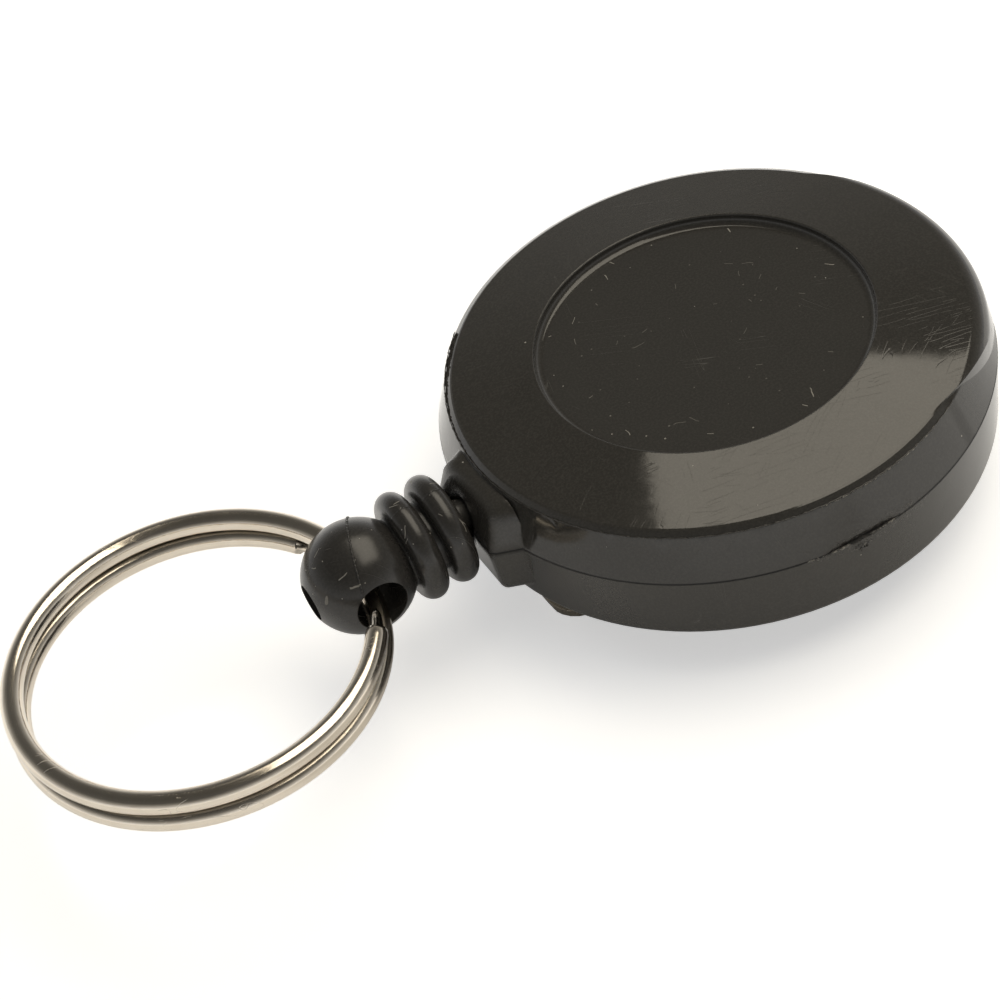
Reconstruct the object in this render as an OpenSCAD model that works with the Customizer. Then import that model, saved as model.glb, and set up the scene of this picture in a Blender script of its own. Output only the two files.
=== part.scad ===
// Retractable reel with a key ring: a round two-part case, a sprung spool of cord inside it,
// a ribbed fitting on the cord's end, a split ring through the fitting's ball and a belt clip.
// The spool turns about Z, the front of the case faces +Z and the cord leaves along +X.
// The origin is the centre of the label seat in the front cover. All lengths are in mm.

/* [Case] */
// Diameter of the case at the seam between its halves
case_d = 38; // [36:0.5:46]
// Height of the front half, from the seam to the rim of the label recess
front_h = 4.25; // [3.9:0.05:6]
// Height of the rear half, from the seam to the flat back
rear_h = 5.35; // [4.9:0.05:7]
// How far the front half's side leans in between the seam and the front rim
front_draft = 1.15; // [0.8:0.05:1.6]
// How far the rear half's side leans in between the seam and the back
rear_draft = 0.35; // [0.1:0.05:0.8]
// How far the front face slopes down between the label recess and the front rim
rim_drop = 0.95; // [0.5:0.05:1.3]
// How far the bevel on the front rim drops below the sloping face
rim_bevel = 0.2; // [0.1:0.05:0.4]
// Angle of that bevel to the seam's plane
rim_bevel_angle = 28; // [20:1:45]
// Radius that rounds the foot of that bevel
rim_round = 0.3; // [0.1:0.05:0.5]
// Angle from the cord's side of the case to the middle of the side's fuller part
full_angle = 164; // [140:1:180]
// How far the side leans in between the seam and the rim of that part
full_draft = 0.5; // [0.3:0.05:0.7]
// Radius that rounds the rim of that part
full_round = 1.4; // [0.8:0.1:1.6]
// Distance from the spool's axis to the axis of the round that ends that part
full_shift = 4.2; // [3:0.1:4.6]
// Radius that breaks the rear half's edge at the seam
seam_round = 0.12; // [0.05:0.01:0.2]
// Radius that rounds the rear edge
back_round = 0.7; // [0.3:0.05:1]
// Thickness of the side walls
wall = 1.4; // [1.2:0.05:1.7]
// Thickness of the front face under the label seat
label_wall = 1.2; // [1:0.05:1.5]
// Thickness of the flat back
back_wall = 1.4; // [1.2:0.05:1.7]
// Diameter of the label recess
label_d = 23; // [16:0.5:26]
// Depth of the label recess
label_depth = 0.75; // [0.7:0.05:1]
// Radius between the floor and the wall of the label recess
label_round = 0.5; // [0.1:0.05:0.5]
// Radius that breaks the edge at the top of that wall
label_edge = 0.12; // [0.05:0.01:0.15]
// Height of the spigot that stands up from the rear half inside the front half
spigot_h = 1; // [0.6:0.1:1.4]
// Thickness of the spigot
spigot_t = 0.6; // [0.4:0.05:0.8]
// Gap between the spigot and the front half
spigot_clear = 0.05; // [0.03:0.01:0.15]
// Depth of the flat on the front half's seam where the moulding gate was trimmed
gate_depth = 0.25; // [0.15:0.05:0.6]
// Height of that flat
gate_h = 0.4; // [0.2:0.05:0.8]
// Angle from the cord's side of the case to that flat
gate_angle = 87; // [45:1:135]

/* [Cord lug] */
// How far the lug's face stands out from the seam
lug_out = 1.15; // [1:0.05:1.3]
// Width of the lug's face
lug_w = 7.4; // [7:0.2:8]
// How far the lug's middle lies to one side of the cord
lug_shift = 0.6; // [0:0.2:0.8]
// Angle at which the lug's ends spread from its face to the case
lug_flare = 27; // [25:1:27]
// Drop from the rim of the label recess to the lug's top
lug_top_drop = 1.4; // [1.2:0.1:1.4]
// Rise from the flat back to the lug's underside
lug_bottom_rise = 1.25; // [1:0.05:1.25]
// How far the lug's face and ends lean in from the seam to the lug's top
lug_top_lean = 1.1; // [1.1:0.1:1.4]
// How far they lean in from the seam to the lug's underside
lug_bottom_lean = 0.25; // [0.2:0.05:0.35]
// Radius that rounds the lug's top edges
lug_top_round = 1.2; // [0.6:0.2:1.2]
// Radius that rounds the lug's bottom edges
lug_bottom_round = 0.9; // [0.5:0.1:1.2]
// Radius that rounds the lug's upright edges at the seam
lug_corner = 0.8; // [0.4:0.2:1.2]
// Diameter of the mouth's throat, which the cord runs through
mouth_d = 2; // [1.6:0.1:2.4]
// Diameter of the mouth's bell at the lug's face
bell_d = 4.4; // [4.2:0.1:4.8]
// Depth of the bell
bell_depth = 1.2; // [1:0.1:1.4]

/* [Cord] */
// Diameter of the cord
cord_d = 0.9; // [0.7:0.05:1]
// Length of cord wound on the drum
cord_length = 650; // [500:10:750]
// Share of the winding's section that the cord fills
cord_fill = 0.78; // [0.7:0.01:0.85]
// Radius of the cord's bend as it runs into the mouth
lead_bend = 2; // [1.5:0.1:2.5]
// Diameter of the stopper knot in the end fitting
knot_d = 2.2; // [1.9:0.05:2.4]
// How far the cord's cut end stands out of the knot
knot_tail = 0.3; // [0.2:0.05:0.4]
// Diameter of the melted bead on the cord's inner end
bead_d = 1.7; // [1.3:0.05:1.9]
// Height of that bead
bead_h = 0.5; // [0.4:0.05:0.6]

/* [Spool] */
// Diameter of the drum that the cord winds on
drum_d = 23; // [20:0.5:24]
// Thickness of the drum's wall, between the cord and the spring
drum_wall = 1.3; // [1.1:0.05:1.6]
// Thickness of the flanges
flange_t = 0.9; // [0.8:0.05:1]
// Gap between the flanges and the case's wall
flange_gap = 1; // [0.6:0.1:2]
// End play of the spool between the covers
spool_play = 0.4; // [0.3:0.05:0.5]
// Diameter of the axle that the spool runs on
axle_d = 4.8; // [4:0.1:5.6]
// Running clearance between the axle and the hub
axle_clear = 0.05; // [0.03:0.01:0.1]
// Wall of the spool's hub
hub_wall = 1.5; // [1:0.1:2]
// Length of the hub past the front flange
hub_h = 0.5; // [0.3:0.1:0.8]
// Thickness of the disc that covers the spring
spring_cover_t = 0.3; // [0.2:0.05:0.4]

/* [Spring] */
// Thickness of the spring strip
spring_t = 0.25; // [0.15:0.05:0.35]
// Turns of the spring at rest
spring_turns = 8; // [6:1:9]
// Gap above and below the strip
spring_side_gap = 0.15; // [0.1:0.05:0.25]
// Gap between the strip and the axle or the drum
spring_end_gap = 0.35; // [0.3:0.05:0.5]
// Gap on each side of the strip in its slots
spring_slot_gap = 0.2; // [0.15:0.05:0.3]
// Radius of the bends at the strip's two ends
spring_bend = 0.4; // [0.3:0.05:0.5]
// How far the strip's inner end reaches past the middle of the axle
tang_reach = 1.7; // [1:0.1:1.8]
// Depth of the slot in the drum that holds the spring's hook
hook_depth = 0.8; // [0.6:0.05:0.9]

/* [End fitting] */
// Gap between the lug's face and the first rib
fitting_gap = 0.4; // [0.3:0.05:1]
// Diameter of the ribs
rib_d = 7.8; // [6.4:0.1:9]
// Thickness of a rib
rib_t = 1.9; // [1.4:0.1:2.1]
// Distance from one rib to the next
rib_pitch = 2.3; // [2.2:0.1:3]
// Diameter of the core between the ribs
core_d = 5; // [4.2:0.1:5.6]
// Diameter of the ball
ball_d = 7.7; // [7:0.1:9]
// Distance from the second rib to the ball's centre
ball_step = 4; // [3.6:0.1:5]
// Diameter of the neck where it leaves the first rib
neck_d = 3.4; // [2.8:0.1:3.6]
// Diameter of the neck's tip
neck_tip_d = 2.2; // [1.9:0.1:2.4]
// How far the neck reaches into the lug's mouth
neck_in = 0.8; // [0.5:0.1:0.9]
// Diameter of the cross hole that the ring runs through
cross_hole_d = 3.6; // [3.5:0.05:4]
// Diameter of the hole in the ball's tip, which the knot was pulled in through
knot_hole_d = 2.6; // [2.5:0.05:3]
// Diameter of the hole for the cord
cord_hole_d = 1.5; // [1.3:0.05:1.7]

/* [Split ring] */
// Outside diameter of the ring
ring_d = 25.4; // [22:0.2:32]
// Diameter of the wire
wire_d = 1.5; // [1.1:0.05:1.55]
// Gap between the two turns
turn_gap = 0.1; // [0.05:0.05:0.2]
// Angle on each side of the ball over which the wire crosses from one turn to the other
cross_angle = 20; // [19:1:24]
// Angle between the ball and the wire's two ends
end_angle = 23; // [22:1:40]
// Angle at which the ring stands up from the plane of the seam
ring_tilt = 2.5; // [0:0.5:20]

/* [Belt clip] */
// Width of the clip's strip
clip_w = 12.5; // [9:0.5:14]
// Thickness of the strip
clip_t = 0.5; // [0.4:0.05:0.7]
// Depth of the seat in the back that keeps the clip from turning
clip_seat = 0.3; // [0.2:0.05:0.4]
// Gap on each side of the clip in its seat
clip_clear = 0.1; // [0.05:0.05:0.2]
// Distance from the spool's axis to the clip's bend
bend_reach = 16.3; // [14:0.1:17]
// Inside radius of the bend
bend_r = 1.8; // [1.4:0.1:2.2]
// Distance from the spool's axis to the end of the riveted leg
tail_reach = 6; // [5:0.5:9]
// Distance from the spool's axis to the point where the leaf comes nearest to the case
pinch_reach = 10; // [8:0.5:12]
// Gap between the leaf and the back at that point
pinch_gap = 0.4; // [0.3:0.1:1]
// Radius of the leaf's bend at that point
pinch_round = 4; // [2:0.5:6]
// Distance from the spool's axis to the leaf's tip
tip_reach = 16.6; // [15.5:0.1:20]
// Radius of the corners of the strip's ends
tip_round = 4.2; // [1:0.1:4.4]
// Gap where the two legs of the strip are told apart, at the start of the bend
clip_split = 0.02; // [0.01:0.01:0.05]

/* [Rivet] */
// Diameter of the rivet's shank
rivet_d = 3; // [2.4:0.1:3.4]
// Diameter of the hole in the rivet's clenched end
rivet_bore = 2; // [1.4:0.1:2.2]
// Diameter of the rivet's head
rivet_head_d = 5.2; // [4.4:0.1:6]
// Height of the rivet's head
rivet_head_h = 0.5; // [0.4:0.05:0.7]
// Radius that rounds the rivet's head
rivet_head_round = 0.35; // [0.2:0.05:0.35]
// Diameter of the clenched end
clench_d = 4.4; // [4:0.1:5]
// Height of the clenched end
clench_h = 0.4; // [0.3:0.05:0.5]
// Radius that rounds the clenched end
clench_round = 0.2; // [0.1:0.05:0.25]
// Diameter of the washer under the clenched end
washer_d = 6.4; // [5.6:0.1:7]
// Thickness of the washer
washer_t = 0.3; // [0.2:0.05:0.4]
// Gap round the rivet in its holes
rivet_clear = 0.05; // [0.03:0.01:0.1]

/* [Hidden] */
$fn = 96;
// Overshoot of a cut past the face that it opens
past = 1;
// Most that one step of a rounding turns by
arc_step = 10;
// Gap between pieces that touch
touch = 0.05;

// Heights
z_rim = label_depth;
z_seam = z_rim - front_h;
z_back = z_seam - rear_h;
z_ceiling = -label_wall;
z_floor = z_back + back_wall;

// Radii of the case
case_r = case_d / 2;
label_r = label_d / 2;
rim_r = case_r - front_draft;
back_r = case_r - rear_draft;
inner_r = case_r - wall;
full_rim_r = case_r - full_draft;
// Round that ends the fuller part and just clears the case's edge in the middle of that part
full_r = case_r + 2 * touch - full_shift;

// Spool
spool_top = z_ceiling - spool_play;
spool_bottom = z_floor + spool_play;
groove_top = spool_top - flange_t;
groove_bottom = spool_bottom + flange_t;
flange_r = inner_r - spigot_t - flange_gap;
drum_r = drum_d / 2;
chamber_r = drum_r - drum_wall;
axle_r = axle_d / 2;
hub_r = axle_r + axle_clear + hub_wall;
hub_bottom = groove_top - hub_h;
// Step in the drum that the spring's cover sits in
cover_step = drum_wall / 2;
cover_z = spool_bottom + touch;
cover_hole_r = washer_d / 2 + spring_end_gap;

// Winding: its section holds the whole length of cord
wind_section = cord_length * pow(cord_d, 2) / cord_fill;
wind_r = sqrt(pow(drum_r, 2) + wind_section / (groove_top - groove_bottom) / PI);
// Inner end of the cord, in the rear flange
bead_r = drum_r + bead_d;

// Rivet and the foot of the axle above it
rivet_r = rivet_d / 2;
washer_top = z_floor + washer_t;
clench_top = washer_top + clench_h;
axle_foot = clench_top + spool_play;

// Spring
spring_top = hub_bottom - spring_side_gap;
spring_bottom = max(cover_z + spring_cover_t, axle_foot) + spring_side_gap;
spring_in = axle_r + spring_end_gap + spring_t / 2;
spring_out = chamber_r - spring_end_gap - spring_t / 2;
// Straight steps in one turn of the spring
spring_steps = 24;

// Lug and mouth
lug_face = case_r + lug_out;
// Flats that round an upright edge of the lug
corner_steps = 3;
// Share of the wall that the lug's root is sunk into
lug_bite = 0.9;
lug_root = case_r - lug_bite * wall;
lug_top = z_rim - lug_top_drop;
lug_bottom = z_back + lug_bottom_rise;
throat_x = lug_face - bell_depth;

// End fitting
neck_x = lug_face - neck_in;
rib_near_x = lug_face + fitting_gap + rib_t / 2;
rib_far_x = rib_near_x + rib_pitch;
ball_x = rib_far_x + ball_step;
ball_r = ball_d / 2;
knot_x = ball_x - ball_r - touch;
knot_shoulder = knot_x - knot_d / 2 - touch;

// Ring
wire_r = wire_d / 2;
ring_r = ring_d / 2 - wire_r;
turn_z = (wire_d + turn_gap) / 2;
// Angle of one straight step of the wire
ring_step = 6;
// Flats round the wire
wire_sides = 10;

// Cord from the drum to the knot: a tangent to the winding, a bend and a straight run
lead_r = wind_r + cord_d / 2 + 2 * touch;
bend_x = throat_x - touch;
lead_angle = acos(lead_r / bend_x);
// How much faster the inlet of the mouth opens than the cord slants
inlet_ease = 1.25;
inlet_slope = inlet_ease / tan(lead_angle);
lead_line = rounded_line(
    [lead_r * [cos(lead_angle), sin(lead_angle)], [bend_x, 0], [knot_shoulder, 0]],
    [0, lead_bend, 0]
);
// Flats round the cord
cord_sides = 8;

// Clip
base_top = z_back + clip_seat;
base_bottom = base_top - clip_t;
bend_z = base_bottom - bend_r;
bend_mid_r = bend_r + clip_t / 2;
leaf_z = bend_z - bend_mid_r;
pinch_z = z_back - pinch_gap - clip_t / 2;
leaf_line = concat(
    [for (a = [90 : arc_step : 270 - arc_step]) [-bend_reach, bend_z] + bend_mid_r * [cos(a), sin(a)]],
    rounded_line(
        [[-bend_reach, leaf_z], [pinch_reach, pinch_z], [tip_reach, leaf_z]], [0, pinch_round, 0]
    )
);

// Direction of a vector, with unit length
function unit(v) = v / norm(v);

// Arc of radius r that rounds the corner b between a and c
function corner(a, b, c, r) =
    let (
        u = unit(a - b),
        v = unit(c - b),
        half = acos(u * v) / 2,
        centre = b + unit(u + v) * r / sin(half),
        p = b + u * r / tan(half) - centre,
        q = b + v * r / tan(half) - centre,
        sweep = 180 - 2 * half,
        n = ceil(sweep / arc_step)
    )
    [
        for (i = [0 : n])
            centre + (p * sin(sweep * (1 - i / n)) + q * sin(sweep * i / n)) / sin(sweep)
    ];

// Open line through points, each rounded by its own radius
function rounded_line(points, radii) = [
    for (i = [0 : len(points) - 1])
        each radii[i] > 0 ? corner(points[i - 1], points[i], points[i + 1], radii[i]) : [points[i]]
];

// Direction across a line at its point i, long enough to keep an even thickness round a bend
function across(line, i) =
    let (
        before = line[max(i, 1)] - line[max(i, 1) - 1],
        after = line[min(i + 1, len(line) - 1)] - line[min(i, len(line) - 2)],
        n_before = unit([-before[1], before[0]]),
        n_after = unit([-after[1], after[0]]),
        mean = unit(n_before + n_after)
    )
    mean / (mean * n_before);

// Outline of a strip of thickness t along a line
function strip(line, t) = concat(
    [for (i = [0 : len(line) - 1]) line[i] + across(line, i) * t / 2],
    [for (i = [len(line) - 1 : -1 : 0]) line[i] - across(line, i) * t / 2]
);

// Closed ring of points round a level path at its point i
function tube_ring(path, i, r, sides) =
    let (
        along = unit(path[min(i + 1, len(path) - 1)] - path[max(i - 1, 0)]),
        level = unit(cross(along, [0, 0, 1])),
        upright = cross(level, along)
    )
    [
        for (k = [0 : sides - 1])
            let (turn = 360 * k / sides)
            path[i] + r * (level * cos(turn) + upright * sin(turn))
    ];

// Round tube along a path that runs about level
module tube(path, r, sides) {
    rings = len(path);
    points = [for (i = [0 : rings - 1]) each tube_ring(path, i, r, sides)];
    sides_faces = [
        for (i = [0 : rings - 2])
            for (k = [0 : sides - 1])
                let (
                    a = i * sides + k,
                    b = i * sides + (k + 1) % sides
                )
                each [[a, a + sides, b + sides], [a, b + sides, b]]
    ];
    last = (rings - 1) * sides;
    start_cap = [for (k = [1 : sides - 2]) [0, k, k + 1]];
    end_cap = [for (k = [1 : sides - 2]) [last, last + k + 1, last + k]];
    polyhedron(points, concat(sides_faces, start_cap, end_cap));
}

// Puts a shape that stands on Z on the cord's axis, with its heights read as X
module on_cord_axis() {
    translate([0, 0, z_seam])
        rotate([0, 90, 0])
            children();
}

// Extrudes an outline drawn in X and Z to a width along Y
module extrude_y(width) {
    rotate([90, 0, 0])
        linear_extrude(width, center = true)
            children();
}

// Outline of half the lug across one of its sides, which leans in from the seam to a round edge
module lug_outline(z_end, lean, edge) {
    z_past = z_seam - sign(z_end - z_seam) * past;
    polygon(rounded_line(
        [[-case_d, z_past], [0, z_past], [0, z_seam], [-lean, z_end], [-case_d, z_end]],
        [0, 0, 0, edge, 0]
    ));
}

// All that lies inside one side of the lug, which touches the round of a corner at an angle
module lug_side(z_end, lean, edge, corner_y, angle) {
    translate([lug_face - lug_corner, lug_shift + corner_y, 0])
        rotate(angle)
            translate([lug_corner, 0, 0])
                extrude_y(2 * case_d)
                    lug_outline(z_end, lean, edge);
}

// Half of the lug, from the seam to height z_end: a round-edged block that narrows to its face
module lug_half(z_end, lean, edge) {
    end_turn = 90 - lug_flare;
    corner_y = lug_w / 2 - lug_corner * tan(end_turn / 2);
    intersection() {
        intersection_for(step = [-corner_steps : corner_steps])
            lug_side(z_end, lean, edge, sign(step) * corner_y, end_turn * step / corner_steps);
        translate([lug_root, -case_d, z_end > z_seam ? z_seam : z_seam - rear_h])
            cube([case_r, 2 * case_d, z_end > z_seam ? front_h : rear_h]);
    }
}

// Cut through the lug: a bell at its face, a throat and a flat inlet that widens towards the drum
module mouth() {
    throat_r = mouth_d / 2;
    bell_slope = (bell_d / 2 - throat_r) / bell_depth;
    inlet_x = inner_r - spigot_t - past;
    inlet_y = throat_r + (throat_x - inlet_x) * inlet_slope;
    on_cord_axis()
        rotate_extrude()
            polygon([
                [0, inlet_x], [throat_r, inlet_x], [throat_r, throat_x],
                [bell_d / 2 + past * bell_slope, lug_face + past], [0, lug_face + past]
            ]);
    translate([0, 0, z_seam - throat_r])
        linear_extrude(mouth_d)
            polygon([
                [inlet_x, inlet_y], [throat_x, throat_r], [throat_x, -throat_r], [inlet_x, -inlet_y]
            ]);
}

// Section of the front half, solid: a sloping face with the label recess, and a full round rim
module front_section() {
    slope = rim_drop / (rim_r - label_r);
    polygon(rounded_line(
        [
            [0, 0], [label_r, 0], [label_r, z_rim],
            [full_rim_r, z_rim - slope * (full_rim_r - label_r)], [case_r, z_seam], [0, z_seam]
        ],
        [0, label_round, label_edge, full_round, 0, 0]
    ));
}

// Room that the front half keeps to: its side leans in to a bevelled rim, except in the fuller part
module front_room() {
    bevel_z = z_rim - rim_drop - rim_bevel;
    lean = front_draft / (bevel_z - z_seam);
    rotate_extrude()
        polygon(rounded_line(
            [
                [0, z_seam - past], [case_r + lean * past, z_seam - past], [rim_r, bevel_z],
                [0, bevel_z + rim_r * tan(rim_bevel_angle)]
            ],
            [0, 0, rim_round, 0]
        ));
    rotate(full_angle)
        translate([full_shift, 0, z_seam - past])
            cylinder(h = front_h + 2 * past, r = full_r);
}

module front_cover() {
    rebate_r = inner_r + spigot_clear;
    rebate_h = spigot_h + 2 * spigot_clear;
    slot_w = spring_t + 2 * spring_slot_gap;
    color("#2b2927") {
        difference() {
            union() {
                intersection() {
                    rotate_extrude()
                        front_section();
                    front_room();
                }
                lug_half(lug_top, lug_top_lean, lug_top_round);
            }
            // Inside of the shell, with a rebate for the spigot
            rotate_extrude()
                polygon([
                    [0, z_ceiling], [rim_r - wall, z_ceiling], [inner_r, z_seam],
                    [inner_r, z_seam - past], [0, z_seam - past]
                ]);
            translate([0, 0, z_seam - past])
                cylinder(h = past + rebate_h, r = rebate_r);
            mouth();
            // Flat left by the moulding gate
            rotate(gate_angle)
                translate([case_r - gate_depth, -case_r, z_seam - past])
                    cube([case_r, case_d, past + gate_h]);
        }
        // Axle, with a slot for the spring's tang
        difference() {
            translate([0, 0, axle_foot])
                cylinder(h = z_ceiling - axle_foot + touch, r = axle_r);
            translate([-axle_d, -slot_w / 2, axle_foot - past])
                cube([2 * axle_d, slot_w, spring_top + spring_side_gap - axle_foot + past]);
        }
    }
}

module rear_cover() {
    seat_w = clip_w + 2 * clip_clear;
    spigot_top = z_seam + spigot_h;
    color("#2b2927")
        difference() {
            union() {
                rotate_extrude()
                    polygon(rounded_line(
                        [
                            [0, spigot_top], [inner_r, spigot_top], [inner_r, z_seam], [case_r, z_seam],
                            [back_r, z_back], [0, z_back]
                        ],
                        [0, 0, 0, seam_round, back_round, 0]
                    ));
                lug_half(lug_bottom, lug_bottom_lean, lug_bottom_round);
            }
            // Inside of the shell, up through the spigot
            rotate_extrude()
                polygon([
                    [0, z_floor], [back_r - wall - spigot_t, z_floor], [inner_r - spigot_t, z_seam],
                    [inner_r - spigot_t, spigot_top + past], [0, spigot_top + past]
                ]);
            mouth();
            translate([0, 0, z_back - past])
                cylinder(h = back_wall + 2 * past, r = rivet_r + rivet_clear);
            // Seat for the clip, open at the clip's bend
            translate([0, 0, z_back - past])
                linear_extrude(past + clip_seat)
                    translate([clip_clear, 0])
                        clip_outline(-case_d, tail_reach, seat_w);
        }
}

// Plan of the strip between two ends, with round corners at the far end
module clip_outline(x_start, x_end, width) {
    polygon(rounded_line(
        [[x_start, -width / 2], [x_end, -width / 2], [x_end, width / 2], [x_start, width / 2]],
        [0, tip_round, tip_round, 0]
    ));
}

module clip_base() {
    color("#b9b4aa")
        translate([0, 0, base_bottom])
            difference() {
                linear_extrude(clip_t)
                    clip_outline(-bend_reach + clip_split, tail_reach, clip_w);
                translate([0, 0, -past])
                    cylinder(h = clip_t + 2 * past, r = rivet_r + rivet_clear);
            }
}

module clip_tongue() {
    depth = 2 * (bend_r + clip_t) + rear_h;
    color("#b9b4aa")
        intersection() {
            extrude_y(clip_w)
                polygon(strip(leaf_line, clip_t));
            translate([0, 0, z_back - depth])
                linear_extrude(2 * depth)
                    clip_outline(-case_d, tip_reach, clip_w);
        }
}

module clip_rivet() {
    head_bottom = base_bottom - rivet_head_h;
    color("#a8a39a")
        rotate_extrude()
            polygon(rounded_line(
                [
                    [0, head_bottom], [rivet_head_d / 2, head_bottom], [rivet_head_d / 2, base_bottom],
                    [rivet_r, base_bottom], [rivet_r, washer_top], [clench_d / 2, washer_top],
                    [clench_d / 2, clench_top], [rivet_bore / 2, clench_top],
                    [rivet_bore / 2, z_back], [0, z_back]
                ],
                [0, rivet_head_round, 0, 0, 0, 0, clench_round, clench_round, 0, 0]
            ));
}

module rivet_washer() {
    color("#a8a39a")
        translate([0, 0, z_floor])
            difference() {
                cylinder(h = washer_t, d = washer_d);
                translate([0, 0, -past])
                    cylinder(h = washer_t + 2 * past, r = rivet_r + rivet_clear);
            }
}

module spool() {
    bore_r = axle_r + axle_clear;
    seat_r = chamber_r + cover_step;
    seat_z = cover_z + spring_cover_t + touch;
    slot_w = spring_t + 2 * spring_slot_gap;
    color("#d8d4c8")
        difference() {
            rotate_extrude()
                polygon([
                    [bore_r, spool_top], [flange_r, spool_top], [flange_r, groove_top],
                    [drum_r, groove_top], [drum_r, groove_bottom], [flange_r, groove_bottom],
                    [flange_r, spool_bottom], [seat_r, spool_bottom], [seat_r, seat_z],
                    [chamber_r, seat_z], [chamber_r, groove_top], [hub_r, groove_top],
                    [hub_r, hub_bottom], [bore_r, hub_bottom]
                ]);
            // Slot for the spring's hook
            translate([chamber_r - past, -slot_w / 2, spool_bottom - past])
                cube([past + hook_depth, slot_w, spring_top + spring_side_gap - spool_bottom + past]);
            // Hole and seat for the bead on the cord's inner end
            translate([-bead_r, 0, spool_bottom - past]) {
                cylinder(h = past + bead_h + touch, d = bead_d + 2 * touch);
                cylinder(h = past + flange_t + touch, d = cord_d + 4 * touch);
            }
        }
}

module power_spring() {
    steps = spring_turns * spring_steps;
    spiral = [
        for (i = [0 : steps])
            let (angle = 360 * i / spring_steps)
            (spring_in + (spring_out - spring_in) * i / steps) * [cos(angle), sin(angle)]
    ];
    hook_end = chamber_r + hook_depth - spring_end_gap;
    // From the tang's end, round the spiral, to the hook's end
    line = rounded_line(
        concat([[-tang_reach, 0]], spiral, [[hook_end, 0]]),
        [for (i = [0 : steps + 2]) i == 1 || i == steps + 1 ? spring_bend : 0]
    );
    color("#6d747c")
        translate([0, 0, spring_bottom])
            linear_extrude(spring_top - spring_bottom)
                polygon(strip(line, spring_t));
}

module spring_cover() {
    color("#c9c4b6")
        translate([0, 0, cover_z])
            difference() {
                cylinder(h = spring_cover_t, r = chamber_r + cover_step - touch);
                translate([0, 0, -past])
                    cylinder(h = spring_cover_t + 2 * past, r = cover_hole_r);
            }
}

module cord_winding() {
    crown = cord_d / 2;
    color("#242322")
        rotate_extrude()
            polygon(rounded_line(
                [
                    [drum_r + touch, groove_bottom + touch], [wind_r, groove_bottom + touch],
                    [wind_r, groove_top - touch], [drum_r + touch, groove_top - touch]
                ],
                [0, crown, crown, 0]
            ));
}

module cord_anchor_bead() {
    color("#242322")
        translate([-bead_r, 0, spool_bottom])
            rotate_extrude()
                polygon(rounded_line(
                    [
                        [0, 0], [bead_d / 2, 0], [bead_d / 2, bead_h], [cord_d / 2, bead_h],
                        [cord_d / 2, flange_t], [0, flange_t]
                    ],
                    [0, bead_h / 2, 0, 0, 0, 0]
                ));
}

module cord_lead() {
    color("#242322")
        tube([for (p = lead_line) [p[0], p[1], z_seam]], cord_d / 2, cord_sides);
}

module cord_end_knot() {
    color("#242322")
        translate([knot_x, 0, z_seam]) {
            sphere(d = knot_d);
            // Cut end of the cord
            rotate([0, 90, 0])
                cylinder(h = knot_d / 2 + knot_tail, d = cord_d);
        }
}

// Round-edged rib at x
module rib(x) {
    on_cord_axis()
        translate([0, 0, x]) {
            cylinder(h = rib_t, d = rib_d - rib_t, center = true);
            rotate_extrude()
                translate([(rib_d - rib_t) / 2, 0])
                    circle(d = rib_t);
        }
}

module end_fitting() {
    color("#232221")
        difference() {
            union() {
                on_cord_axis() {
                    translate([0, 0, neck_x])
                        cylinder(h = rib_near_x - neck_x, d1 = neck_tip_d, d2 = neck_d);
                    translate([0, 0, rib_near_x])
                        cylinder(h = ball_x - rib_near_x, d = core_d);
                    translate([0, 0, ball_x])
                        sphere(d = ball_d);
                }
                rib(rib_near_x);
                rib(rib_far_x);
            }
            on_cord_axis() {
                translate([0, 0, neck_x - past])
                    cylinder(h = ball_x - neck_x, d = cord_hole_d);
                translate([0, 0, knot_shoulder])
                    cylinder(h = ball_x + ball_d - knot_shoulder, d = knot_hole_d);
            }
            translate([ball_x, 0, z_seam])
                rotate([90, 0, 0])
                    cylinder(h = 2 * ball_d, d = cross_hole_d, center = true);
        }
}

// Point on the wire's centre line, from the ball's centre. The angle counts along the wire.
function wire_point(angle) =
    let (share = max(-1, min(1, angle / cross_angle)))
    [ring_r * (1 - cos(angle)), -ring_r * sin(angle), turn_z * sin(90 * share)];

module split_ring() {
    reach = 360 - end_angle;
    steps = 2 * round(reach / ring_step);
    color("#c9c5bd")
        translate([ball_x, 0, z_seam])
            rotate([0, -ring_tilt, 0])
                tube(
                    [for (i = [0 : steps]) wire_point(reach * (2 * i / steps - 1))],
                    wire_r, wire_sides
                );
}

front_cover();
rear_cover();
spool();
power_spring();
spring_cover();
cord_winding();
cord_anchor_bead();
cord_lead();
cord_end_knot();
end_fitting();
split_ring();
clip_base();
clip_tongue();
clip_rivet();
rivet_washer();
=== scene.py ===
import math

import bpy
from mathutils import Matrix, Vector


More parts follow.
